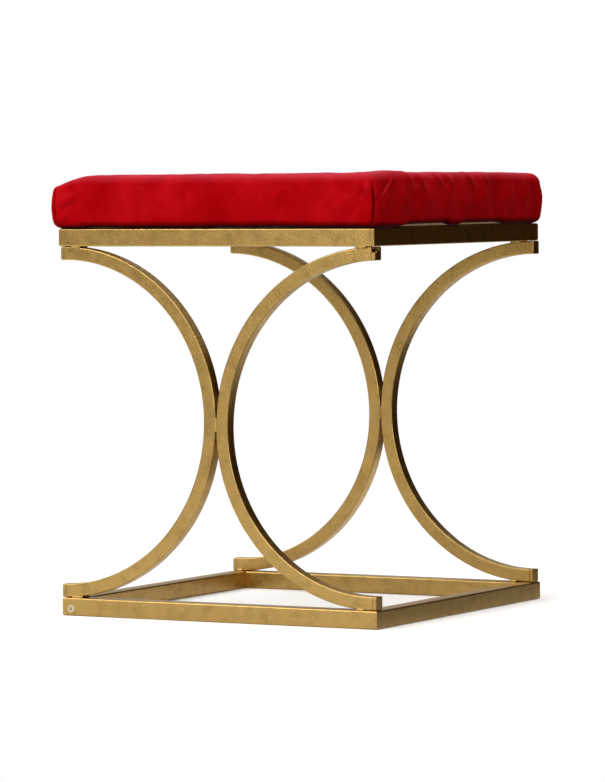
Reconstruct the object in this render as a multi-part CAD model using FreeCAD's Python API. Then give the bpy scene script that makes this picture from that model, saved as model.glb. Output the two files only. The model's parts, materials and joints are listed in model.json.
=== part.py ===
import FreeCAD, Part
import os
import math

# Square upholstered stool: a welded steel frame of square tube under a velvet box cushion.
# Millimetres.  X runs along the front face, the front faces -Y, Z is up and the floor is z = 0.

os.makedirs("parts", exist_ok=True)

# ---- driving dimensions -------------------------------------------------------------------
FRAME_W = 400.0          # outside width of both rings, along X
FRAME_D = 400.0          # outside depth of both rings, along Y
FRAME_H = 434.0          # floor to the top of the upper ring
RAIL = 20.0              # square tube of the rings
RAIL_WALL = 1.2
RAIL_R = 1.9             # rounding of the ring tube's long edges
BOW = 15.0               # square tube of the bows
BOW_WALL = 1.2
BOW_R = 1.6
BOW_GAP = 0.2            # weld gap between a bow end and its rail
BOW_INSET = (RAIL - BOW) / 2.0
WAIST_GAP = 0.4          # gap where the two bows of a face meet
CAP_HEAD = 4.6           # visible length of a bow end cap
CAP_SEAM = 0.5           # open joint between the cap's head and the tube
CAP_ROUND = 1.1          # rounding of the cap's outer rim
CAP_SPIGOT = 9.0         # length of the part of the cap inside the tube
CAP_WALL = 1.3
CAP_CLEAR = 0.15

# Hand-bent bows: the belly of each sits a little above or below the middle of the frame, and
# the ends aren't all trimmed flush with the sides.
# name: side of the face (-1 left, 1 right), face (-1 front, 1 rear), belly rise,
#       upper end x, lower end x
BOWS = {
    "front_left_bow": (-1, -1, 4.7, -199.3, -201.6),
    "front_right_bow": (1, -1, -4.0, 199.5, 198.0),
    "rear_left_bow": (-1, 1, -5.4, -199.8, -199.8),
    "rear_right_bow": (1, 1, -3.4, 202.5, 199.2),
}
WAIST_X = {-1: -1.1, 1: 1.4}

# Seat
CUSHION_W = 412.0        # outside of the velvet, both ways
CUSHION_H = 61.0         # frame to the middle of the crown
CROWN = 5.0              # how far the top drops from the middle to the middle of an edge
VELVET = 1.0
CORNER_R = 20.0
SHOULDER_R = 18.0
HEM_R = 6.0
FLANGE = 48.0            # how far the velvet is turned in under the board
BOARD_W = 392.0
BOARD_T = 12.0
BOARD_R = 8.0
TAB_LEG = 78.0
TAB_T = 3.0
TAB_DROP = 1.8           # top of the tab below the top of the ring
BOLT_XY = 149.0
BOLT_D = 5.9
DUST_W = 336.0
DUST_T = 0.5

MID = FRAME_H / 2.0
HW = FRAME_W / 2.0
HD = FRAME_D / 2.0
Z = FreeCAD.Vector(0, 0, 1)


def V(x, y, z):
    return FreeCAD.Vector(x, y, z)


def box(x0, x1, y0, y1, z0, z1):
    return Part.makeBox(x1 - x0, y1 - y0, z1 - z0, V(x0, y0, z0))


def fuse(shapes):
    whole = shapes[0]
    for s in shapes[1:]:
        whole = whole.fuse(s)
    return whole.removeSplitter()


def cut_all(shape, tools):
    for t in tools:
        shape = shape.cut(t)
    return shape


def one_solid(shape):
    # the largest solid of a result, so that no stray crumb is kept
    return max(shape.Solids, key=lambda s: s.Volume)


def save(name, shapes):
    whole = shapes[0] if len(shapes) == 1 else Part.makeCompound(shapes)
    whole.exportStep("parts/" + name + ".step")


# ---- rings --------------------------------------------------------------------------------
def round_long_edges(shape, axis, radius):
    long_edges = []
    for e in shape.Edges:
        d = e.Vertexes[-1].Point.sub(e.Vertexes[0].Point)
        if d.Length > 100 and abs(d.dot(axis)) > 0.999 * d.Length:
            long_edges.append(e)
    return shape.makeFillet(radius, long_edges)


def mitre_wedge(half_x, half_y, z0):
    # the part of the plan nearer to the front rail than to its neighbours
    pts = [V(0, 0, z0), V(-half_x, -half_y, z0), V(half_x, -half_y, z0), V(0, 0, z0)]
    return Part.Face(Part.makePolygon(pts)).extrude(Z * RAIL)


def front_rail(z0):
    reach = HW
    outer = box(-reach, reach, -HD, -HD + RAIL, z0, z0 + RAIL)
    outer = round_long_edges(outer, V(1, 0, 0), RAIL_R)
    w = RAIL_WALL
    inner = box(-reach, reach, -HD + w, -HD + RAIL - w, z0 + w, z0 + RAIL - w)
    inner = round_long_edges(inner, V(1, 0, 0), RAIL_R - RAIL_WALL)
    return one_solid(outer.cut(inner).common(mitre_wedge(HW, HD, z0)))


def ring(z0):
    first = front_rail(z0)
    rails = {}
    for side, angle in (("front", 0), ("right", 90), ("rear", 180), ("left", 270)):
        r = first.copy()
        r.rotate(V(0, 0, 0), Z, angle)
        rails[side] = r
    return rails


base = ring(0.0)
top = ring(FRAME_H - RAIL)

# ---- hole plug in the front base rail -------------------------------------------------------
PLUG_X = -189.0
PLUG_Z = 7.6
PLUG_D = 8.6
PLUG_STEM_D = 5.0
PLUG_PROUD = 0.5
PLUG_STEM = 2.2


def y_cyl(d, x, y0, y1, z):
    return Part.makeCylinder(d / 2.0, y1 - y0, V(x, y0, z), V(0, 1, 0))


plug_head = y_cyl(PLUG_D, PLUG_X, -HD - PLUG_PROUD, -HD, PLUG_Z)
plug_head = plug_head.makeFillet(0.35, [e for e in plug_head.Edges
                                        if abs(e.CenterOfMass.y + HD + PLUG_PROUD) < 1e-6
                                        and e.Length > 20])
plug_stem = y_cyl(PLUG_STEM_D, PLUG_X, -HD - 0.01, -HD + PLUG_STEM, PLUG_Z)
plug_dimple = y_cyl(4.2, PLUG_X, -HD - PLUG_PROUD, -HD + 1.2, PLUG_Z)
plug = one_solid(plug_head.fuse(plug_stem).cut(plug_dimple))
base["front"] = one_solid(base["front"].cut(y_cyl(PLUG_STEM_D, PLUG_X, -HD - 1, -HD + 2, PLUG_Z)))

# ---- bows ---------------------------------------------------------------------------------
REACH = MID - RAIL - BOW_GAP     # half the outside height of a bow


def bow_region(side, face, rise, x_top, x_base, off_out, off_in, off_y):
    # the flat shape of a bow between two offsets from its outer edge, given its thickness
    vx = WAIST_X[face] + side * WAIST_GAP / 2.0
    vz = MID + rise
    up = REACH - rise
    low = REACH + rise
    edges = []
    for off in (off_out, off_in):
        ru = up - off
        rl = low - off
        cu = vx + side * up
        cl = vx + side * low
        c = math.cos(math.radians(45))
        p_top = V(cu, 0, vz + ru)
        p_um = V(cu - side * ru * c, 0, vz + ru * c)
        p_v = V(vx + side * off, 0, vz)
        p_lm = V(cl - side * rl * c, 0, vz - rl * c)
        p_base = V(cl, 0, vz - rl)
        lead_top = V(side * (HW + 12), 0, vz + ru)
        lead_base = V(side * (HW + 12), 0, vz - rl)
        edges.append((lead_top, p_top, p_um, p_v, p_lm, p_base, lead_base))
    a, b = edges
    lines = [
        Part.makeLine(a[0], a[1]),
        Part.Arc(a[1], a[2], a[3]).toShape(),
        Part.Arc(a[3], a[4], a[5]).toShape(),
        Part.makeLine(a[5], a[6]),
        Part.makeLine(a[6], b[6]),
        Part.makeLine(b[6], b[5]),
        Part.Arc(b[5], b[4], b[3]).toShape(),
        Part.Arc(b[3], b[2], b[1]).toShape(),
        Part.makeLine(b[1], b[0]),
        Part.makeLine(b[0], a[0]),
    ]
    flat = Part.Face(Part.Wire(lines))
    y0 = -HD + BOW_INSET if face < 0 else HD - BOW_INSET - BOW
    thick = BOW - 2 * off_y
    flat.translate(V(0, y0 + off_y, 0))
    return flat.extrude(V(0, thick, 0)), y0 + off_y, y0 + off_y + thick


def rounded_bow(side, face, rise, x_top, x_base, off, radius):
    solid, y0, y1 = bow_region(side, face, rise, x_top, x_base, off, BOW - off, off)
    rims = []
    for e in solid.Edges:
        p = e.CenterOfMass
        in_face = abs(p.y - y0) < 1e-6 or abs(p.y - y1) < 1e-6
        is_cut_end = abs(abs(p.x) - (HW + 12)) < 1e-3
        if in_face and not is_cut_end:
            rims.append(e)
    return solid.makeFillet(radius, rims)


def end_slab(side, x_end, depth0, depth1, upper):
    # the space between two distances in from a bow end
    xa = x_end - side * depth0
    xb = x_end - side * depth1
    z0 = MID if upper else 0.0
    return box(min(xa, xb), max(xa, xb), -HD - 5, HD + 5, z0, z0 + MID)


bows = {}
caps = {}
for name, (side, face, rise, x_top, x_base) in BOWS.items():
    args = (side, face, rise, x_top, x_base)
    full = rounded_bow(*args, 0.0, BOW_R)
    bore = rounded_bow(*args, BOW_WALL, BOW_R - BOW_WALL + 0.3)
    plug_shape = rounded_bow(*args, BOW_WALL + CAP_CLEAR, BOW_R - BOW_WALL + 0.3)
    plug_bore = rounded_bow(*args, BOW_WALL + CAP_CLEAR + CAP_WALL, 0.5)
    tube = full.cut(bore)
    ends = []
    for upper, x_end in ((True, x_top), (False, x_base)):
        beyond = end_slab(side, x_end, -40.0, CAP_HEAD, upper)
        tube = tube.cut(beyond)
        head = full.common(end_slab(side, x_end, 0.0, CAP_HEAD - CAP_SEAM, upper))
        rim = [e for e in head.Edges if abs(e.CenterOfMass.x - x_end) < 1e-4]
        head = head.makeFillet(CAP_ROUND, rim)
        spigot = plug_shape.common(end_slab(side, x_end, CAP_HEAD - CAP_SEAM - 0.5,
                                            CAP_HEAD + CAP_SPIGOT, upper))
        hollow = plug_bore.common(end_slab(side, x_end, 1.6, CAP_HEAD + CAP_SPIGOT + 1, upper))
        cap = head.fuse(spigot).cut(hollow)
        if name == "front_right_bow" and upper:
            # a broken corner on this cap leaves its hollow open
            z_top = FRAME_H - RAIL - BOW_GAP
            y_front = -HD + BOW_INSET
            chip = box(x_end - CAP_HEAD - 0.3, x_end + 1, y_front - 1, y_front + 9.5,
                       z_top - 4.6, z_top + 1)
            low_chip = box(x_end - 3.6, x_end + 1, y_front - 1, y_front + 4.0,
                           z_top - 6.4, z_top + 1)
            cap = cap.cut(chip).cut(low_chip)
        ends.append(one_solid(cap.removeSplitter()))
    bows[name] = one_solid(tube)
    caps[name + "_caps"] = ends

# ---- welds --------------------------------------------------------------------------------
def bead(centres, radii, axis):
    # overlapping drops of weld metal; each drop's poles lie along the bead
    drops = []
    for c, r in zip(centres, radii):
        drops.append(Part.makeSphere(r, V(*c), axis))
    return fuse(drops)


# middle of each bead along X, and its length
END_BEADS = {
    ("front_left_bow", True): (-180.2, 14.0),
    ("front_right_bow", True): (181.6, 14.0),
    ("front_left_bow", False): (-182.0, 15.0),
    ("front_right_bow", False): (177.8, 11.0),
    ("rear_left_bow", True): (-181.0, 12.0),
    ("rear_right_bow", True): (180.0, 15.0),
    ("rear_left_bow", False): (-190.5, 10.0),
    ("rear_right_bow", False): (174.0, 10.0),
}
DROP_R = (2.05, 2.35, 2.2, 2.4, 2.1)
top_beads = []
base_beads = []
for (name, upper), (x_mid, length) in END_BEADS.items():
    side, face, rise, x_top, x_base = BOWS[name]
    edge = "front" if face < 0 else "rear"
    rail = top[edge] if upper else base[edge]
    z_mid = FRAME_H - RAIL - BOW_GAP / 2.0 if upper else RAIL + BOW_GAP / 2.0
    z_mid += -0.6 if upper else 0.6
    y_out = face * (HD - BOW_INSET)
    y_in = face * (HD - BOW_INSET - BOW)
    pitch = (length - 4.4) / (len(DROP_R) - 1)
    for y_mid, outward in ((y_out, face), (y_in, -face)):
        centres = []
        for i in range(len(DROP_R)):
            x = x_mid + (i - 2) * pitch
            centres.append((x, y_mid - outward * (0.35 + 0.13 * (i % 2)), z_mid + 0.22 * ((i * 2) % 3 - 1)))
        drops = bead(centres, DROP_R, V(1, 0, 0))
        solid = one_solid(drops.cut(rail).cut(bows[name]))
        (top_beads if upper else base_beads).append(solid)

WAIST_DROP_R = (1.55, 1.75, 1.85, 1.7, 1.8, 1.6)
WAIST_PITCH = 2.5
waist_beads = []
for face, names in ((-1, ("front_left_bow", "front_right_bow")),
                    (1, ("rear_left_bow", "rear_right_bow"))):
    y_out = face * (HD - BOW_INSET)
    y_in = face * (HD - BOW_INSET - BOW)
    z_waist = MID + 0.5 * (BOWS[names[0]][2] + BOWS[names[1]][2])
    for y_mid, outward in ((y_out, face), (y_in, -face)):
        centres = []
        for i in range(len(WAIST_DROP_R)):
            z = z_waist + (i - 2.5) * WAIST_PITCH
            centres.append((WAIST_X[face] + 0.15 * (i % 2), y_mid - outward * 0.9, z))
        drops = bead(centres, WAIST_DROP_R, Z)
        waist_beads.append(one_solid(drops.cut(bows[names[0]]).cut(bows[names[1]])))

# ---- seat fixing --------------------------------------------------------------------------
CORNERS = [(-1, -1), (1, -1), (1, 1), (-1, 1)]
TAB_TOP = FRAME_H - TAB_DROP
tabs = []
bolts = []
washers = []
t_nuts = []
SEAT_Z = FRAME_H                       # underside of the velvet flange
BOARD_Z0 = SEAT_Z + VELVET
BOARD_Z1 = BOARD_Z0 + BOARD_T
for sx, sy in CORNERS:
    cx = sx * (HW - RAIL)
    cy = sy * (HD - RAIL)
    z0 = TAB_TOP - TAB_T
    pts = [V(cx, cy, z0), V(cx - sx * TAB_LEG, cy, z0), V(cx, cy - sy * TAB_LEG, z0), V(cx, cy, z0)]
    tab = Part.Face(Part.makePolygon(pts)).extrude(V(0, 0, TAB_T))
    bx = sx * BOLT_XY
    by = sy * BOLT_XY
    tab = tab.cut(Part.makeCylinder(3.5, 20, V(bx, by, z0 - 5)))
    tabs.append(one_solid(tab))
    wash = Part.makeCylinder(6.0, 1.2, V(bx, by, z0 - 1.2))
    wash = wash.cut(Part.makeCylinder(3.2, 4, V(bx, by, z0 - 2)))
    washers.append(one_solid(wash))
    head_z = z0 - 1.2 - 4.0
    hexagon = Part.makePolygon([V(bx + 5.77 * math.cos(math.radians(60 * k)),
                                  by + 5.77 * math.sin(math.radians(60 * k)), head_z)
                                for k in range(7)])
    head = Part.Face(hexagon).extrude(V(0, 0, 4.0))
    chamfer = Part.makeCone(4.9, 8.9, 4.0, V(bx, by, head_z))
    head = head.common(chamfer)
    shank_top = BOARD_Z1 - 1.0
    shank = Part.makeCylinder(BOLT_D / 2.0, shank_top - head_z - 4.0 + 0.01, V(bx, by, head_z + 3.99))
    tip = [e for e in shank.Edges if abs(e.CenterOfMass.z - shank_top) < 1e-6 and e.Length > 10]
    shank = shank.makeChamfer(0.8, tip)
    bolts.append(one_solid(head.fuse(shank).removeSplitter()))
    flange = Part.makeCylinder(9.5, 1.2, V(bx, by, BOARD_Z1))
    barrel = Part.makeCylinder(3.9, 9.0, V(bx, by, BOARD_Z1 - 9.0 + 0.01))
    nut = flange.fuse(barrel)
    nut = nut.cut(Part.makeCylinder(BOLT_D / 2.0 + 0.05, 30, V(bx, by, BOARD_Z1 - 15)))
    for k in range(4):
        a = math.radians(45 + 90 * k)
        prong = Part.makeBox(1.2, 2.6, 5.0, V(-0.6, -1.3, -5.0))
        prong.translate(V(8.2, 0, 0))
        prong.rotate(V(0, 0, 0), Z, 45 + 90 * k)
        prong.translate(V(bx, by, BOARD_Z1 + 0.01))
        nut = nut.fuse(prong)
    t_nuts.append(one_solid(nut.removeSplitter()))

# ---- staples ------------------------------------------------------------------------------
STAPLE_W = 10.0
STAPLE_WIRE = 1.0
STAPLE_LEG = 8.0


def staple(x, y, angle, z_crown_top):
    # crown along local X under the cloth, legs pointing up
    h = STAPLE_WIRE
    crown = box(-STAPLE_W / 2, STAPLE_W / 2, -h / 2, h / 2, -0.6, 0)
    leg_a = box(-STAPLE_W / 2, -STAPLE_W / 2 + 0.6, -h / 2, h / 2, -0.3, STAPLE_LEG)
    leg_b = box(STAPLE_W / 2 - 0.6, STAPLE_W / 2, -h / 2, h / 2, -0.3, STAPLE_LEG)
    s = crown.fuse(leg_a).fuse(leg_b).removeSplitter()
    s.rotate(V(0, 0, 0), Z, angle)
    s.translate(V(x, y, z_crown_top))
    return one_solid(s)


COVER_ROW = 172.5        # between the rail's inner face and the edge of the dust cover
DUST_ROW = 162.8         # through the edge of the dust cover and the velvet flange
cover_staples = []
dust_staples = []
for turn in range(4):
    for k in range(8):
        x = -91.0 + 26.0 * k
        s = staple(x, -COVER_ROW, 0, SEAT_Z)
        s.rotate(V(0, 0, 0), Z, 90 * turn)
        cover_staples.append(s)
    for k in range(5):
        x = -80.0 + 40.0 * k
        s = staple(x, -DUST_ROW, 0, SEAT_Z - DUST_T)
        s.rotate(V(0, 0, 0), Z, 90 * turn)
        dust_staples.append(s)

# ---- cushion ------------------------------------------------------------------------------
def cushion_form(grow):
    # the box cushion with rounded corners, rolled hem, soft shoulders and a crowned top
    half = CUSHION_W / 2.0 - VELVET + grow
    z0 = SEAT_Z + VELVET - grow
    z1 = SEAT_Z + CUSHION_H - VELVET + grow
    solid = box(-half, half, -half, half, z0, z1 + 5)
    upright = [e for e in solid.Edges if abs(e.Vertexes[0].Point.z - e.Vertexes[1].Point.z) > 20]
    solid = solid.makeFillet(CORNER_R + grow, upright)
    crown_r = (half * half + CROWN * CROWN) / (2.0 * CROWN)
    ball = Part.makeSphere(crown_r)
    ball.rotate(V(0, 0, 0), V(0, 1, 0), 90)
    ball.translate(V(0, 0, z1 - crown_r))
    solid = one_solid(solid.common(ball))
    shoulder = []
    for e in solid.Edges:
        if min(v.Point.z for v in e.Vertexes) > z1 - CROWN - 12:
            shoulder.append(e)
    solid = solid.makeFillet(SHOULDER_R + grow, shoulder)
    hem = [e for e in solid.Edges if max(v.Point.z for v in e.Vertexes) < z0 + 0.01]
    return solid.makeFillet(HEM_R + grow, hem)


inside = cushion_form(0.0)
outside = cushion_form(VELVET)
opening_half = CUSHION_W / 2.0 - FLANGE
opening = box(-opening_half, opening_half, -opening_half, opening_half, SEAT_Z - 5, SEAT_Z + VELVET)
velvet = outside.cut(inside).cut(opening)

hb = BOARD_W / 2.0
board = box(-hb, hb, -hb, hb, BOARD_Z0, BOARD_Z1)
board = board.makeFillet(BOARD_R, [e for e in board.Edges
                                   if abs(e.Vertexes[0].Point.z - e.Vertexes[1].Point.z) > 5])
foam = inside.cut(board)
foam = cut_all(foam, t_nuts)
holes = [Part.makeCylinder(3.9, 40, V(sx * BOLT_XY, sy * BOLT_XY, BOARD_Z0 - 10)) for sx, sy in CORNERS]
board = cut_all(board, holes)
board = cut_all(board, t_nuts)

dh = DUST_W / 2.0
dust = box(-dh, dh, -dh, dh, SEAT_Z - DUST_T, SEAT_Z)
dust_holes = [Part.makeCylinder(4.5, 10, V(sx * BOLT_XY, sy * BOLT_XY, SEAT_Z - 5)) for sx, sy in CORNERS]
dust = cut_all(dust, dust_holes)

pins = Part.makeCompound(cover_staples + dust_staples)
board = board.cut(pins)
velvet = velvet.cut(pins)
dust = dust.cut(Part.makeCompound(dust_staples))

# ---- files --------------------------------------------------------------------------------
for side_name in ("front", "rear", "left", "right"):
    save("base_" + side_name + "_rail", [base[side_name]])
    save("top_" + side_name + "_rail", [top[side_name]])
for name in BOWS:
    save(name, [bows[name]])
    save(name + "_caps", caps[name + "_caps"])
save("top_weld_beads", top_beads)
save("base_weld_beads", base_beads)
save("waist_welds", waist_beads)
save("base_hole_plug", [plug])
save("seat_corner_tabs", tabs)
save("seat_bolts", bolts)
save("seat_washers", washers)
save("t_nuts", t_nuts)
save("seat_board", [one_solid(board)])
save("foam_pad", [one_solid(foam)])
save("velvet_cover", [one_solid(velvet)])
save("dust_cover", [one_solid(dust)])
save("cover_staples", cover_staples)
save("dust_cover_staples", dust_staples)
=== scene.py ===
import bpy
import json
import math
import numpy as np
from mathutils import Vector, Matrix, noise


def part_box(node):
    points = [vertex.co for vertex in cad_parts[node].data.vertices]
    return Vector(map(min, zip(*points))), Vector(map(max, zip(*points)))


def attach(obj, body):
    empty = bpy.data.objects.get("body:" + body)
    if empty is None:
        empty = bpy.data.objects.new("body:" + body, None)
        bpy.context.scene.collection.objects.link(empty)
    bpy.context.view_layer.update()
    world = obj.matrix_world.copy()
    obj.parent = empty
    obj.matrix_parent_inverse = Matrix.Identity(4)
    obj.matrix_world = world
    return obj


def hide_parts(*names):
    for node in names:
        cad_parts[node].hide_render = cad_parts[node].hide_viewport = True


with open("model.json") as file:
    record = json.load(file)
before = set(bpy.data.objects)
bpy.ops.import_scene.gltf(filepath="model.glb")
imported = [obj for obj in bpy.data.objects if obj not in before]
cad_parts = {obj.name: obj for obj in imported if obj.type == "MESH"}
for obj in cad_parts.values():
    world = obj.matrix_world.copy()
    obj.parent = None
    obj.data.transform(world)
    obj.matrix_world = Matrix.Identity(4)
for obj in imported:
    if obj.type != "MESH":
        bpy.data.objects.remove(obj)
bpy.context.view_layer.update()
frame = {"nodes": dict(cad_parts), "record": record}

MM = 0.001
nodes = frame["nodes"]
scene = bpy.context.scene
scene.view_settings.view_transform = "Standard"


# ---- camera -------------------------------------------------------------------------------
YAW = math.radians(29.10)        # the camera stands to the right of the front face
PITCH = math.radians(2.704)      # and looks down a little
ROLL = math.radians(-0.467)
DISTANCE = 5.1932                # metres from AIM
AIM = Vector((-0.00136, 0.00057, 0.24614))
FRAME_TALL = 36.0                # mm
LENS = 210.17                    # mm
CLIP_END = 100.0


def add_camera():
    fwd = Vector((-math.sin(YAW) * math.cos(PITCH), math.cos(YAW) * math.cos(PITCH),
                  -math.sin(PITCH)))
    right = Vector((math.cos(YAW), math.sin(YAW), 0.0))
    up = right.cross(fwd)
    r = right * math.cos(ROLL) + up * math.sin(ROLL)
    u = -right * math.sin(ROLL) + up * math.cos(ROLL)
    data = bpy.data.cameras.new("camera")
    data.sensor_fit = "VERTICAL"
    data.sensor_height = FRAME_TALL
    data.lens = LENS
    data.clip_end = CLIP_END
    cam = bpy.data.objects.new("camera", data)
    m = Matrix((r, u, -fwd)).transposed().to_4x4()
    m.translation = AIM - fwd * DISTANCE
    cam.matrix_world = m
    scene.collection.objects.link(cam)
    scene.camera = cam


add_camera()


# ---- node helpers -------------------------------------------------------------------------
# sockets of a colour Mix node: factor, first and second colour, result
MIX_FACTOR, MIX_A, MIX_B, MIX_RESULT = 0, 6, 7, 2


class Graph:
    """A small builder for shader node trees."""

    def __init__(self, tree, coordinate="Object"):
        self.t = tree
        self.co = tree.nodes.new("ShaderNodeTexCoord").outputs[coordinate]

    def new(self, kind, **values):
        n = self.t.nodes.new(kind)
        for key, v in values.items():
            setattr(n, key, v)
        return n

    def link(self, a, b):
        self.t.links.new(a, b)

    def stretch(self, x, y, z):
        n = self.new("ShaderNodeMapping")
        n.inputs["Scale"].default_value = (x, y, z)
        self.link(self.co, n.inputs["Vector"])
        return n.outputs["Vector"]

    def noise(self, scale, detail=3.0, rough=0.55, co=None, distortion=0.0):
        n = self.new("ShaderNodeTexNoise")
        n.inputs["Scale"].default_value = scale
        n.inputs["Detail"].default_value = detail
        n.inputs["Roughness"].default_value = rough
        n.inputs["Distortion"].default_value = distortion
        self.link(co or self.co, n.inputs["Vector"])
        return n.outputs["Fac"]

    def spots(self, scale, size, soft, co=None):
        """1 inside scattered dots, 0 outside."""
        n = self.new("ShaderNodeTexVoronoi")
        n.inputs["Scale"].default_value = scale
        self.link(co or self.co, n.inputs["Vector"])
        stops = [(size, (1, 1, 1, 1)), (size + soft, (0, 0, 0, 1))]
        return self.ramp(n.outputs["Distance"], stops)

    def ramp(self, fac, stops, interpolation="LINEAR"):
        n = self.new("ShaderNodeValToRGB")
        e = n.color_ramp.elements
        while len(e) < len(stops):
            e.new(0.5)
        for el, (pos, col) in zip(e, stops):
            el.position = pos
            el.color = col
        n.color_ramp.interpolation = interpolation
        self.link(fac, n.inputs["Fac"])
        return n.outputs["Color"]

    def mix(self, fac, a, b):
        n = self.new("ShaderNodeMix", data_type="RGBA")
        for i, v in ((MIX_FACTOR, fac), (MIX_A, a), (MIX_B, b)):
            sock = n.inputs[i]
            if hasattr(v, "node"):
                self.link(v, sock)
            else:
                sock.default_value = v
        return n.outputs[MIX_RESULT]

    def math(self, op, a, b):
        n = self.new("ShaderNodeMath", operation=op)
        for sock, v in zip(n.inputs, (a, b)):
            if hasattr(v, "node"):
                self.link(v, sock)
            else:
                sock.default_value = v
        return n.outputs[0]

    def remap(self, v, lo, hi, to_lo, to_hi):
        n = self.new("ShaderNodeMapRange")
        for key, x in zip(("From Min", "From Max", "To Min", "To Max"), (lo, hi, to_lo, to_hi)):
            n.inputs[key].default_value = x
        self.link(v, n.inputs["Value"])
        return n.outputs["Result"]

    def dot(self, direction):
        n = self.new("ShaderNodeVectorMath", operation="DOT_PRODUCT")
        self.link(self.co, n.inputs[0])
        n.inputs[1].default_value = Vector(direction).normalized()
        return n.outputs["Value"]


class Mat(Graph):
    """A material: a graph round a Principled shader."""

    def __init__(self, name):
        self.m = bpy.data.materials.new(name)
        self.m.use_nodes = True
        self.b = self.m.node_tree.nodes["Principled BSDF"]
        super().__init__(self.m.node_tree)

    def put(self, **values):
        for key, v in values.items():
            self.b.inputs[key.replace("_", " ")].default_value = v

    def bump(self, *layers):
        """layers are (height, distance in metres, strength), stacked."""
        normal = None
        for h, dist, strength in layers:
            n = self.new("ShaderNodeBump")
            n.inputs["Distance"].default_value = dist
            n.inputs["Strength"].default_value = strength
            self.link(h, n.inputs["Height"])
            if normal is not None:
                self.link(normal, n.inputs["Normal"])
            normal = n.outputs["Normal"]
        self.link(normal, self.b.inputs["Normal"])

    def colour(self, c):
        self.link(c, self.b.inputs["Base Color"])

    def rough(self, r):
        self.link(r, self.b.inputs["Roughness"])


def gold_paint():
    """Sprayed gold: blotches, fine grain, pale nibs and dark pits."""
    m = Mat("gold_paint")
    blotch = m.noise(55.0, 4.0, 0.6)
    grain = m.noise(900.0, 2.0, 0.6)
    warm = m.ramp(blotch, [(0.36, (0.37, 0.223, 0.060, 1)), (0.50, (0.455, 0.292, 0.088, 1)),
                           (0.64, (0.505, 0.302, 0.087, 1))])
    c = m.mix(m.remap(grain, 0.35, 0.65, 0.0, 0.5), warm, (0.56, 0.385, 0.136, 1))
    nib = m.spots(150.0, 0.06, 0.03)
    c = m.mix(m.math("MULTIPLY", nib, 0.7), c, (0.90, 0.78, 0.52, 1))
    pit = m.spots(115.0, 0.028, 0.02, m.stretch(1.0, 1.0, 1.13))
    c = m.mix(m.math("MULTIPLY", pit, 0.45), c, (0.30, 0.19, 0.06, 1))
    m.colour(c)
    m.put(Metallic=1.0, Coat_Weight=0.08, Coat_Roughness=0.12)
    m.rough(m.remap(m.noise(140.0, 4.0), 0.3, 0.7, 0.27, 0.36))
    orange_peel = m.noise(420.0, 3.0, 0.5)
    wave = m.noise(28.0, 2.0, 0.5)
    m.bump((wave, 0.0012, 0.8), (orange_peel, 0.0003, 0.9), (nib, 0.0003, 0.6))
    return m.m


def velvet():
    """Red pile, with a painted sheen that makes it paler where it faces up and painted shade
    that makes it nearly black where it rolls under.
    """
    m = Mat("velvet")
    nap = m.noise(26.0, 4.0, 0.55, distortion=0.6)
    pile = m.noise(1600.0, 2.0, 0.6)
    c = m.ramp(nap, [(0.32, (0.278, 0.0004, 0.0012, 1)), (0.50, (0.343, 0.0012, 0.0030, 1)),
                     (0.68, (0.412, 0.0030, 0.0058, 1))])
    c = m.mix(m.remap(pile, 0.3, 0.7, 0.0, 0.3), c, (0.50, 0.0026, 0.0052, 1))
    up = m.new("ShaderNodeSeparateXYZ")
    m.link(m.new("ShaderNodeNewGeometry").outputs["Normal"], up.inputs[0])
    facing = up.outputs["Z"]
    # painted sheen: where the normal faces up, the pile is painted a paler pink, mottled by
    # noise, as a highlight from the light above
    pale = m.math("POWER", m.remap(facing, 0.0, 1.0, 0.0, 0.9), 2.4)
    painted_sheen_mottle = m.noise(9.0, 3.0, 0.5, distortion=1.2)
    soft = m.ramp(painted_sheen_mottle, [(0.34, (0.39, 0.034, 0.056, 1)), (0.50, (0.43, 0.044, 0.070, 1)),
                            (0.66, (0.50, 0.056, 0.084, 1))])
    c = m.mix(pale, c, soft)
    # painted shade: where the normal faces down, under the roll of the hem, the pile is painted
    # nearly black
    c = m.mix(m.remap(facing, -0.30, -0.95, 0.0, 1.0), c, (0.006, 0.0, 0.0, 1))
    m.colour(c)
    m.put(Roughness=0.9, Sheen_Weight=0.18, Sheen_Roughness=0.25, Specular_IOR_Level=0.0)
    m.b.inputs["Sheen Tint"].default_value = (1.0, 0.30, 0.38, 1)
    m.bump((m.noise(70.0, 3.0), 0.0006, 0.35), (pile, 0.0002, 0.6))
    return m.m


def simple(name, colour, rough, metallic, grain, depth=0.0001, contrast=0.15):
    """One colour with a fine grain; depth is the grain's height in metres."""
    m = Mat(name)
    n = m.noise(grain, 4.0)
    dark = tuple(x * (1 - contrast) for x in colour) + (1,)
    light = tuple(min(1, x * (1 + contrast)) for x in colour) + (1,)
    m.colour(m.ramp(n, [(0.3, dark), (0.7, light)]))
    m.put(Metallic=metallic)
    m.rough(m.remap(m.noise(grain * 0.3, 3.0), 0.3, 0.7, rough - 0.07, rough + 0.07))
    m.bump((n, depth, 0.5))
    return m.m


def plywood():
    """Pale veneer layers."""
    m = Mat("plywood")
    ring = m.noise(22.0, 5.0, 0.6, m.stretch(1.0, 9.0, 60.0))
    m.colour(m.ramp(ring, [(0.3, (0.42, 0.27, 0.13, 1)), (0.55, (0.60, 0.43, 0.24, 1)),
                           (0.75, (0.68, 0.52, 0.32, 1))]))
    m.rough(m.remap(ring, 0.3, 0.7, 0.6, 0.8))
    m.bump((ring, 0.0002, 0.5))
    return m.m


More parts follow.
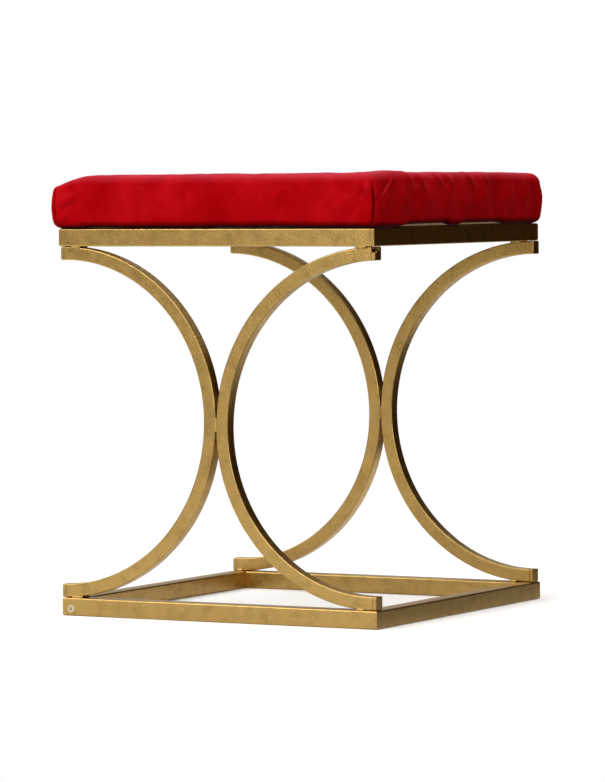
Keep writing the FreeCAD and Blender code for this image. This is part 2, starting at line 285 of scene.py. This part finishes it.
def dust_cloth():
    """Undyed spun cloth with a dimpled face."""
    m = Mat("dust_cloth")
    fibre = m.noise(900.0, 5.0, 0.7)
    dimple = m.spots(700.0, 0.25, 0.15)
    m.colour(m.ramp(fibre, [(0.3, (0.52, 0.48, 0.41, 1)), (0.75, (0.68, 0.64, 0.56, 1))]))
    m.put(Roughness=0.85)
    m.bump((fibre, 0.0003, 0.6), (dimple, 0.0003, 0.5))
    return m.m


# by the material slots' names in the record
MATERIALS = {
    "gold_paint": gold_paint(),
    "zinc_steel": simple("zinc_plate", (0.55, 0.55, 0.52), 0.32, 0.95, 700.0),
    "velvet": velvet(),
    "foam": simple("foam", (0.80, 0.72, 0.50), 0.9, 0.0, 300.0, 0.0006, 0.1),
    "plywood": plywood(),
    "dust_cloth": dust_cloth(),
    "pale_plug": simple("pale_plug", (0.50, 0.44, 0.31), 0.5, 0.0, 900.0),
}
for part in frame["record"]["subparts"]:
    obj = nodes[part["node"]]
    obj.data.materials.clear()
    obj.data.materials.append(MATERIALS[part["material_slot"]])

# ---- cushion ------------------------------------------------------------------------------
# Sizes in millimetres here; the mesh is made in metres.
RAIL_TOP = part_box("top_front_rail")[1][2] / MM
CUSHION_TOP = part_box("velvet_cover")[1][2] / MM
HALF = 206.4                     # half the cushion's width at its fullest
CENTRE = (-1.7, -1.0)            # the cushion sits a touch to the left and forward
CORNER_R = 13.0                  # of the upright corners, in plan
SHOULDER_R = 12.0                # where the wall turns over into the top
FLANGE_IN = 39.0                 # how far the velvet runs inwards under the cushion
CORNER_NAMES = ("front_right", "rear_right", "rear_left", "front_left")
STRAIGHT = 2 * (HALF - CORNER_R)
ARC = CORNER_R * math.pi / 2
SIDE = STRAIGHT + ARC            # one straight and the corner after it
COARSE, FINE = 5.3, 1.35         # spacing of the mesh columns
SPREAD_FADE = 25.0               # over which fine spacing turns into coarse
# rows in the wall, rows in the shoulder, rings over the top, and how much a ring keeps
COVER_ROWS = (24, 11, 28, 0.972)
CORE_ROWS = (6, 8, 14, 0.93)
CORE_STEP = 6.0                  # spacing of the foam core's columns
CORE_INSET = 11.0                # the foam core lies this far inside the velvet
CORE_FLOOR = 13.3                # and its underside this far over the rail
LAST_RING = 0.985                # the rings stop here, on the way from the rim to the centre
# how much of the edge after each corner, and before the next, has fine columns
FINE_ENDS = ((250.0, 20.0), (20.0, 20.0), (20.0, 20.0), (50.0, 30.0))
# how far the top drops at the corners, apart from the front left one, which PULL lowers
CORNER_DROP = {"front_right": -0.5, "rear_right": 1.0, "rear_left": 6.0}
TOP_SINK, TOP_FALL = 0.8, 1.3    # of the top under the CAD's, and of its edges' middles
PULL, PULL_REACH, PULL_SLANT = 15.5, 56.0, 0.52
PUFF = (3.0, (188, -152), (30, 40))     # height, middle and reach
DIP = (-1.3, (190, -92), (40, 26))
# where the pleat stands along each corner's arc, and how high it goes
PLEAT_AT = {"front_right": -1.0, "rear_right": 1.5, "rear_left": -2.0, "front_left": 4.5}
PLEAT_TOP = {"front_right": 478.0, "rear_right": 474.0, "rear_left": 475.0, "front_left": 477.0}
# the fold in plan at full depth: along the edge before, along the edge after, outwards
FOLD = [(-11.0, -11.0, 0.0), (-8.0, -8.0, 0.35), (-5.6, -5.5, 0.8), (-3.8, -3.5, 1.15),
        (-2.5, -2.0, 1.25), (-1.6, -0.9, 0.95), (-0.9, -0.35, 0.2), (-0.3, -0.6, -1.8),
        (0.2, -0.7, -4.6), (0.7, 0.1, -7.5), (1.2, 1.1, -4.8), (1.7, 1.45, -2.2),
        (2.4, 2.0, -0.7), (3.4, 3.1, 0.0), (5.0, 4.9, 0.25), (7.4, 7.4, 0.15), (10.5, 10.5, 0.0)]


def smooth(x, lo, hi):
    t = np.clip((x - lo) / (hi - lo), 0.0, 1.0)
    return t * t * (3 - 2 * t)


def gauss(x, mid, width):
    return np.exp(-((x - mid) / width) ** 2)


def spread(lo, hi, near, far):
    """Places from lo to hi, packed closer over the first near and the last far millimetres."""
    t = np.linspace(lo, hi, 600)
    close = np.maximum(1 - smooth(t - lo, near, near + SPREAD_FADE),
                       1 - smooth(hi - t, far, far + SPREAD_FADE))
    density = 1 / COARSE + (1 / FINE - 1 / COARSE) * close
    total = np.concatenate([[0.0], np.cumsum(0.5 * (density[1:] + density[:-1]) * np.diff(t))])
    n = int(round(total[-1]))
    return np.interp(np.arange(1, n) * total[-1] / n, total, t)


def outline():
    """Columns round the cushion: distance along it, the corner they fold at (or -1), and
    how far the fold shifts them along the edge and outwards."""
    marks = []
    # the corner after side k is at the end of side k: 0 front, 1 right, 2 rear, 3 left
    for k, name in enumerate(CORNER_NAMES):
        pleat = k * SIDE + STRAIGHT + ARC / 2 + PLEAT_AT[name]
        for before, after, out in FOLD:
            marks.append((pleat + before, k, after - before, out))
        lo = pleat + FOLD[-1][0]
        following = CORNER_NAMES[(k + 1) % 4]
        hi = (k + 1) * SIDE + STRAIGHT + ARC / 2 + PLEAT_AT[following] + FOLD[0][0]
        for t in spread(lo, hi, *FINE_ENDS[k]):
            marks.append((t, -1, 0.0, 0.0))
    return [np.array(column) for column in zip(*marks)]


def plan(s):
    """Plan point and outward normal at distances s along the outline."""
    s = np.mod(s, 4 * SIDE)
    k = np.floor(s / SIDE).astype(int) % 4
    t = s - k * SIDE
    on_arc = t > STRAIGHT
    a = np.where(on_arc, (t - STRAIGHT) / CORNER_R, 0.0)
    # side 0 runs along +X at the front
    x = np.where(on_arc, HALF - CORNER_R + CORNER_R * np.sin(a), t - (HALF - CORNER_R))
    y = np.where(on_arc, -(HALF - CORNER_R) - CORNER_R * np.cos(a), -HALF)
    nx = np.sin(a)
    ny = -np.cos(a)
    # each later side is turned a quarter more: c and w are the turn's cosine and sine
    c = np.array([1, 0, -1, 0])[k]
    w = np.array([0, 1, 0, -1])[k]
    place = np.stack([c * x - w * y, w * x + c * y], -1)
    return place, np.stack([c * nx - w * ny, w * nx + c * ny], -1)


def mound(x, y, height, middle, reach):
    off = ((x - middle[0]) / reach[0]) ** 2 + ((y - middle[1]) / reach[1]) ** 2
    return height * np.exp(-off)


def top_height(x, y):
    """Height of the top surface at plan points."""
    u = np.abs(x - CENTRE[0]) / HALF
    v = np.abs(y - CENTRE[1]) / HALF
    z = CUSHION_TOP - TOP_SINK - TOP_FALL * (u ** 4 + v ** 4)
    right = smooth(x, -60, 60)
    rear = smooth(y, -60, 60)
    drop = (CORNER_DROP["front_right"] * right * (1 - rear)
            + CORNER_DROP["rear_right"] * right * rear
            + CORNER_DROP["rear_left"] * (1 - right) * rear)
    z = z - drop * np.minimum(u * v, 1.1) ** 4
    # the front left corner is pulled down
    away = (x - CENTRE[0] + HALF) + PULL_SLANT * (y - CENTRE[1] + HALF)
    near = np.clip(1 - away / PULL_REACH, 0.0, 1.0)
    return z - PULL * near ** 1.5 + mound(x, y, *PUFF) + mound(x, y, *DIP)


def ridge(p, a, b, width, height, taper):
    """How proud a crease along the line a-b makes p; it fades over taper of each end."""
    a = np.array(a, float)
    b = np.array(b, float)
    d = b - a
    length = np.linalg.norm(d)
    d /= length
    rel = p - a
    t = rel @ d
    off = np.linalg.norm(rel - t[..., None] * d, axis=-1)
    ends = (smooth(t, -0.02 * length, taper * length)
            * (1 - smooth(t, (1 - taper) * length, 1.02 * length)))
    return height * np.exp(-(off / width) ** 2) * ends


# Hurst exponent, lacunarity and octaves of the noise
FBM = (0.6, 2.0, 3)


def fbm(p, scale, seed):
    """Smooth noise at p, with lumps about scale wide."""
    flat = p.reshape(-1, 3) / scale
    out = np.empty(len(flat))
    for i, q in enumerate(flat):
        place = (q[0] + seed, q[1] - seed, q[2] + 2 * seed)
        out[i] = noise.fractal(place, *FBM)
    return out.reshape(p.shape[:-1])


def cushion_grid(detail=True, inset=0.0):
    """Rows of points (mm) from the hem, up the wall and over the top: the velvet in full
    detail, or the plainer foam core inset from it."""
    wall_rows, shoulder_rows, rings, keep = COVER_ROWS if detail else CORE_ROWS
    s, corner, shift, out = outline()
    if not detail:
        s = np.arange(0, 4 * SIDE, CORE_STEP)
    base, normal = plan(s)
    base = base + np.array(CENTRE)
    corner_ness = np.zeros(len(s))
    for k in range(4):
        mid = k * SIDE + STRAIGHT + ARC / 2
        d = np.abs(np.mod(s - mid + 2 * SIDE, 4 * SIDE) - 2 * SIDE)
        corner_ness = np.maximum(corner_ness, 1 - smooth(d, 4, 40))
    right = smooth(base[:, 0], 190, 204) * smooth(base[:, 1], -140, -60)
    front = smooth(-base[:, 1], 190, 204) * (1 - smooth(-base[:, 0], 150, 185))
    hem_r = 8.0 + 2.0 * np.maximum(corner_ness, right) + 3.0 * front * (1 - corner_ness)
    hem_z = RAIL_TOP + 0.35 + 0.5 * (1 - corner_ness) + hem_lift(base)
    rows = []

    def row(offset, z):
        xy = base - normal * (np.asarray(offset) + inset)[..., None]
        rows.append(np.concatenate([xy, np.broadcast_to(z, len(s))[:, None]], -1))

    if detail:
        for inner in (FLANGE_IN, 20.0, 8.0, 4.5, 3.2, 2.1, 1.0):
            blend = smooth(inner, 0.0, 4.5)
            row(hem_r + inner, hem_z * (1 - blend) + (RAIL_TOP + 0.05) * blend)
        for a in np.radians(np.linspace(-90, 0, 6)):
            row(hem_r * (1 - math.cos(a)), hem_z + hem_r * (1 + math.sin(a)))
    else:
        row(np.full(len(s), 14.0), RAIL_TOP + CORE_FLOOR)
        row(np.full(len(s), 6.0), RAIL_TOP + CORE_FLOOR)
    left = np.exp(-(np.hypot(base[:, 0] + HALF, base[:, 1] + HALF) / 30.0) ** 2)
    shoulder = SHOULDER_R - 5.5 * left
    end = base - normal * shoulder[:, None]
    z_end = top_height(end[:, 0], end[:, 1])
    z_lo = hem_z + hem_r if detail else np.full(len(s), RAIL_TOP + 16.0)
    z_hi = z_end - shoulder
    for i in range(1, wall_rows):
        f = i / wall_rows
        row(-1.6 * math.sin(math.pi * f) * np.ones(len(s)), z_lo + (z_hi - z_lo) * f)
    for a in np.radians(np.linspace(0, 90, shoulder_rows)):
        row(shoulder * (1 - math.cos(a)), z_hi + shoulder * math.sin(a) - inset)
    last = rows[-1]
    for q in 1 - np.cumprod(keep ** np.linspace(0.5, 9.5, rings)):
        if q > LAST_RING:
            break
        xy = last[:, :2] * (1 - q) + np.array(CENTRE) * q
        z = top_height(xy[:, 0], xy[:, 1]) - inset
        rows.append(np.concatenate([xy, z[:, None]], -1))
    p = np.array(rows)
    if detail:
        p = fold_corners(p, corner, shift, out, normal, base)
        p = wrinkle(p)
    return p


# places along the right-hand side where the hem stands off the rail: how far, and where it
# starts to rise, is up, starts to fall, and is down again
HEM_LIFTS = ((2.2, -142, -118, -34, -18), (1.9, 0, 18, 92, 118))


def hem_lift(base):
    """The hem stands off the rail in HEM_LIFTS' places, and waves a little along the front."""
    x, y = base[:, 0], base[:, 1]
    right = smooth(x, 190, 204)
    lift = np.zeros(len(base))
    for high, rise, up, fall, down in HEM_LIFTS:
        lift += high * smooth(y, rise, up) * (1 - smooth(y, fall, down))
    front = smooth(-y, 190, 204)
    wave = 0.2 + 0.2 * np.sin(x / 31.0) + 0.1 * np.sin(x / 13.0 + 1.0)
    return right * lift + front * wave * smooth(x, -190, -150)


SLIT_CORNER = "front_right"
SLIT_LINE = 0.7                  # the fold's deepest line, as FOLD has it
SLIT_OPENS, SLIT_FADE = 0.95, 4.0


def fold_corners(p, corner, shift, out, normal, base):
    """Folds the corner columns inwards, as deep as the pleats' height allows."""
    tangent = np.stack([-normal[:, 1], normal[:, 0]], -1)
    for k, name in enumerate(CORNER_NAMES):
        cols = np.where(corner == k)[0]
        z = p[:, cols, 2]
        top = PLEAT_TOP[name]
        depth = smooth(z, RAIL_TOP - 4.0, RAIL_TOP + 4.0) * (1 - smooth(z, top - 9.0, top + 5.0))
        inward = np.linalg.norm(p[:, cols, :2] - base[cols], axis=-1)
        depth = depth * (1 - smooth(inward, 9.0, 15.0))
        gap = 0.6 + 1.9 * smooth(z, RAIL_TOP + 6.0, top - 12.0)
        if name == SLIT_CORNER:          # the slit opens towards its top
            rel = np.array([f[0] for f in FOLD]) - SLIT_LINE
            wide = SLIT_OPENS * np.sign(rel) * np.exp(-np.abs(rel) / SLIT_FADE)
        else:
            wide = 0.0
        climb = np.clip((z - RAIL_TOP) / (top - RAIL_TOP), 0, 1)
        bend = 1.6 * np.sin(climb * math.pi) - 0.8
        move = shift[cols] * depth * gap + bend * depth * gauss(out[cols], -3.0, 6.0)
        move += wide * depth * smooth(z, 450.0, top - 6.0)
        outwards = out[cols] * depth
        p[:, cols, :2] += (tangent[cols] * move[..., None]
                           + normal[cols] * outwards[..., None])
    return p


# creases: start, end, width, how proud (a hollow is negative), and the part that fades
SLIT_CREASES = (
    # a puckered lip beside the slit at the near corner, and the hollow next to it
    ((195.5, -208.0, 485.0), (193.5, -208.0, 464.0), 2.4, 3.3, 0.45),
    ((190.0, -208.0, 483.0), (189.0, -208.0, 464.0), 2.4, -2.4, 0.45),
    ((184.0, -208.0, 487.0), (182.0, -208.0, 466.0), 4.0, 1.2, 0.45),
    # thin slanting edge of the layer folded under the side panel
    ((205.3, -164.0, 488.0), (204.9, -200.6, 460.0), 1.3, 2.0, 0.1),
    ((205.5, -172.0, 486.0), (202.5, -203.0, 460.0), 3.4, -1.4, 0.2),
)
FRONT_CREASES = (
    # slanting folds at the left end of the front
    ((-200.0, -208.5, 459.0), (-166.0, -208.5, 473.0), 5.5, 1.9, 0.45),
    ((-199.0, -208.5, 449.5), (-160.0, -208.5, 467.0), 5.0, -1.9, 0.4),
    ((-199.0, -208.5, 439.0), (-172.0, -208.5, 462.0), 5.0, 1.6, 0.4),
    # a crease along the hem at that end
    ((-204.0, -206.0, 442.0), (-160.0, -206.0, 439.5), 1.4, -1.0, 0.3),
    # faint slants along the front
    ((-120.0, -208.5, 445.0), (-60.0, -208.5, 470.0), 9.0, 0.6, 0.4),
    ((20.0, -208.5, 470.0), (95.0, -208.5, 446.0), 10.0, 0.6, 0.4),
    ((148.0, -208.5, 445.0), (176.0, -208.5, 470.0), 5.0, 0.9, 0.4),
)
# where each gather starts along the right-hand side, and how proud it is
GATHERS = ((-172.0, 1.0), (-135.0, 2.4), (-108.0, 2.8), (-66.0, 2.6), (-40.0, 1.5),
           (12.0, 2.0), (48.0, 1.3), (88.0, 0.8))
GATHER_WIDTH, GATHER_FADE = 5.6, 0.4


def wrinkle(p):
    """Moves p along its normals: rolls, hollows, creases and gathers."""
    du = np.roll(p, -1, axis=1) - np.roll(p, 1, axis=1)
    dv = np.gradient(p, axis=0)
    n = np.cross(du, dv)
    n /= np.maximum(np.linalg.norm(n, axis=-1, keepdims=True), 1e-9)
    x, y, z = p[..., 0], p[..., 1], p[..., 2]
    on_wall = smooth(z, RAIL_TOP + 3, RAIL_TOP + 12)
    d = 0.55 * fbm(p, 42.0, 3.1) * on_wall
    # shallow hollows and soft rolls over the top, away from its rim
    rim = np.maximum(np.abs(x - CENTRE[0]), np.abs(y - CENTRE[1]))
    on_top = (smooth(z, CUSHION_TOP - 6.0, CUSHION_TOP - 3.0)
              * (1 - smooth(rim, 150.0, 186.0)))
    d += (1.1 * fbm(p, 75.0, 8.7) - 0.9) * on_top
    for crease in SLIT_CREASES:
        d += ridge(p, *crease)
    # short slanting gathers over the right-hand shoulder, each with a hollow behind it
    for y0, high in GATHERS:
        d += ridge(p, (194.0, y0, 495.0), (206.5, y0 + 18.0, 478.0),
                   GATHER_WIDTH, high, GATHER_FADE)
        d += ridge(p, (194.0, y0 + 13.0, 495.0), (206.5, y0 + 32.0, 476.0),
                   GATHER_WIDTH, -high, GATHER_FADE)
    # soft upright bands lower on that side
    right = smooth(x, 196, 205)
    bands = np.sin(y / 7.6 + 0.9 * np.sin(y / 27.0) + 0.5)
    d += right * 0.85 * bands * gauss(z, 462.0, 16.0)
    for crease in FRONT_CREASES:
        d += ridge(p, *crease)
    return p + n * d[..., None]


def grid_mesh(name, p, close_bottom):
    """A mesh of the rows, in metres, closed over the top and, if asked, underneath."""
    rows, cols = p.shape[:2]
    verts = [tuple(v) for v in (p.reshape(-1, 3) * MM)]
    faces = []
    for i in range(rows - 1):
        for j in range(cols):
            k = (j + 1) % cols
            faces.append((i * cols + j, i * cols + k, (i + 1) * cols + k, (i + 1) * cols + j))
    rims = [rows - 1] + ([0] if close_bottom else [])
    for r in rims:
        verts.append(tuple(p[r].mean(axis=0) * MM))
        c = len(verts) - 1
        for j in range(cols):
            k = (j + 1) % cols
            a, b = r * cols + j, r * cols + k
            faces.append((a, b, c) if r else (b, a, c))
    mesh = bpy.data.meshes.new(name)
    mesh.from_pydata(verts, [], faces)
    mesh.shade_smooth()
    mesh.validate()
    return mesh


CLOTH = 0.0009                   # thickness in metres


def add_cushion():
    mesh = grid_mesh("velvet_seat", cushion_grid(), False)
    cover = bpy.data.objects.new("velvet_seat", mesh)
    scene.collection.objects.link(cover)
    cover.data.materials.append(MATERIALS["velvet"])
    cloth = cover.modifiers.new("cloth", "SOLIDIFY")
    cloth.thickness = CLOTH
    cloth.offset = -1.0
    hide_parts("velvet_cover")
    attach(cover, "root")
    mesh = grid_mesh("foam_core", cushion_grid(False, CORE_INSET), True)
    core = bpy.data.objects.new("foam_core", mesh)
    scene.collection.objects.link(core)
    core.data.materials.append(MATERIALS["foam"])
    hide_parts("foam_pad")
    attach(core, "root")


add_cushion()

# ---- stage and light ----------------------------------------------------------------------
FLOOR_R = 1.3
FLOOR_X, FLOOR_Y = -0.35, -0.35
FLOOR_SIDES = 96
FLOOR_GAP = 0.0002               # under the stool's feet
LIGHTS = (                       # name, place, aim, size, watts, colour
    ("key", (-0.42, -2.7, 0.90), (-0.2, -0.2, 0.40), (1.5, 1.25), 8.2, (1.0, 0.98, 0.95)),
    ("edge", (2.7, -1.6, 0.9), (0.2, -0.2, 0.3), (0.7, 1.2), 26.0, (1, 1, 1)),
    ("strobe", (-1.46, -2.42, 1.82), (0, 0, 0.4), (0.45, 0.45), 12.0, (1, 1, 1)),
)


def add_floor():
    mesh = bpy.data.meshes.new("floor")
    turns = np.linspace(0, 2 * math.pi, FLOOR_SIDES + 1)[:-1]
    rim = [(FLOOR_X + FLOOR_R * math.cos(a), FLOOR_Y + FLOOR_R * math.sin(a), 0.0)
           for a in turns]
    mesh.from_pydata(rim, [], [tuple(range(len(rim)))])
    floor = bpy.data.objects.new("floor", mesh)
    floor.location.z = -FLOOR_GAP
    scene.collection.objects.link(floor)
    m = Mat("pale_floor")
    pale = m.ramp(m.noise(3.0, 2.0), [(0.3, (0.82, 0.82, 0.82, 1)),
                                      (0.7, (0.85, 0.85, 0.85, 1))])
    # the stool is lit by a floor that is greyer to its right, a painted shade that only
    # reflections and bounce light see; the camera sees one white sweep
    place = m.new("ShaderNodeSeparateXYZ")
    m.link(m.co, place.inputs[0])
    # painted shade: the floor turns grey to the right of the stool
    floor_painted_shade = m.remap(place.outputs["X"], 0.17, 0.25, 0.0, 1.0)
    lit = m.mix(floor_painted_shade, pale, (0.27, 0.25, 0.22, 1))
    seen = m.new("ShaderNodeLightPath").outputs["Is Camera Ray"]
    m.colour(m.mix(seen, lit, (0.98, 0.98, 0.98, 1)))
    m.put(Roughness=0.9, Specular_IOR_Level=0.1)
    mesh.materials.append(m.m)


def add_area(name, place, aim, size, power, colour):
    data = bpy.data.lights.new(name, "AREA")
    data.shape = "RECTANGLE"
    data.size, data.size_y = size
    data.energy = power
    data.color = colour
    light = bpy.data.objects.new(name, data)
    light.location = place
    way = Vector(aim) - Vector(place)
    light.rotation_euler = way.to_track_quat("-Z", "Y").to_euler()
    light.visible_camera = False
    scene.collection.objects.link(light)


def add_world():
    """A white backdrop; the room that lights the stool is bright above, in front to the left
    and behind to the left, and dark to the right."""
    world = bpy.data.worlds.new("studio")
    scene.world = world
    world.use_nodes = True
    g = Graph(world.node_tree, "Generated")
    front = g.remap(g.dot((-0.35, -0.94, 0.0)), 0.0, 0.9, 0.0, 1.0)
    wall = g.ramp(front, [(0.0, (0.030, 0.014, 0.003, 1)), (0.35, (0.10, 0.07, 0.035, 1)),
                          (1.0, (0.42, 0.40, 0.37, 1))], "EASE")
    behind = g.remap(g.dot((-0.60, 0.80, 0.0)), 0.70, 0.95, 0.0, 1.0)
    wall = g.mix(behind, wall, (0.50, 0.48, 0.45, 1))
    above = g.remap(g.dot((-0.15, -0.2, 1.0)), 0.48, 0.75, 0.0, 1.0)
    room = g.mix(above, wall, (1.95, 1.94, 1.93, 1))
    seen = g.new("ShaderNodeLightPath").outputs["Is Camera Ray"]
    bg = world.node_tree.nodes["Background"]
    g.link(g.mix(seen, room, (1.0, 1.0, 1.0, 1)), bg.inputs["Color"])


add_floor()
for light in LIGHTS:
    add_area(*light)
add_world()
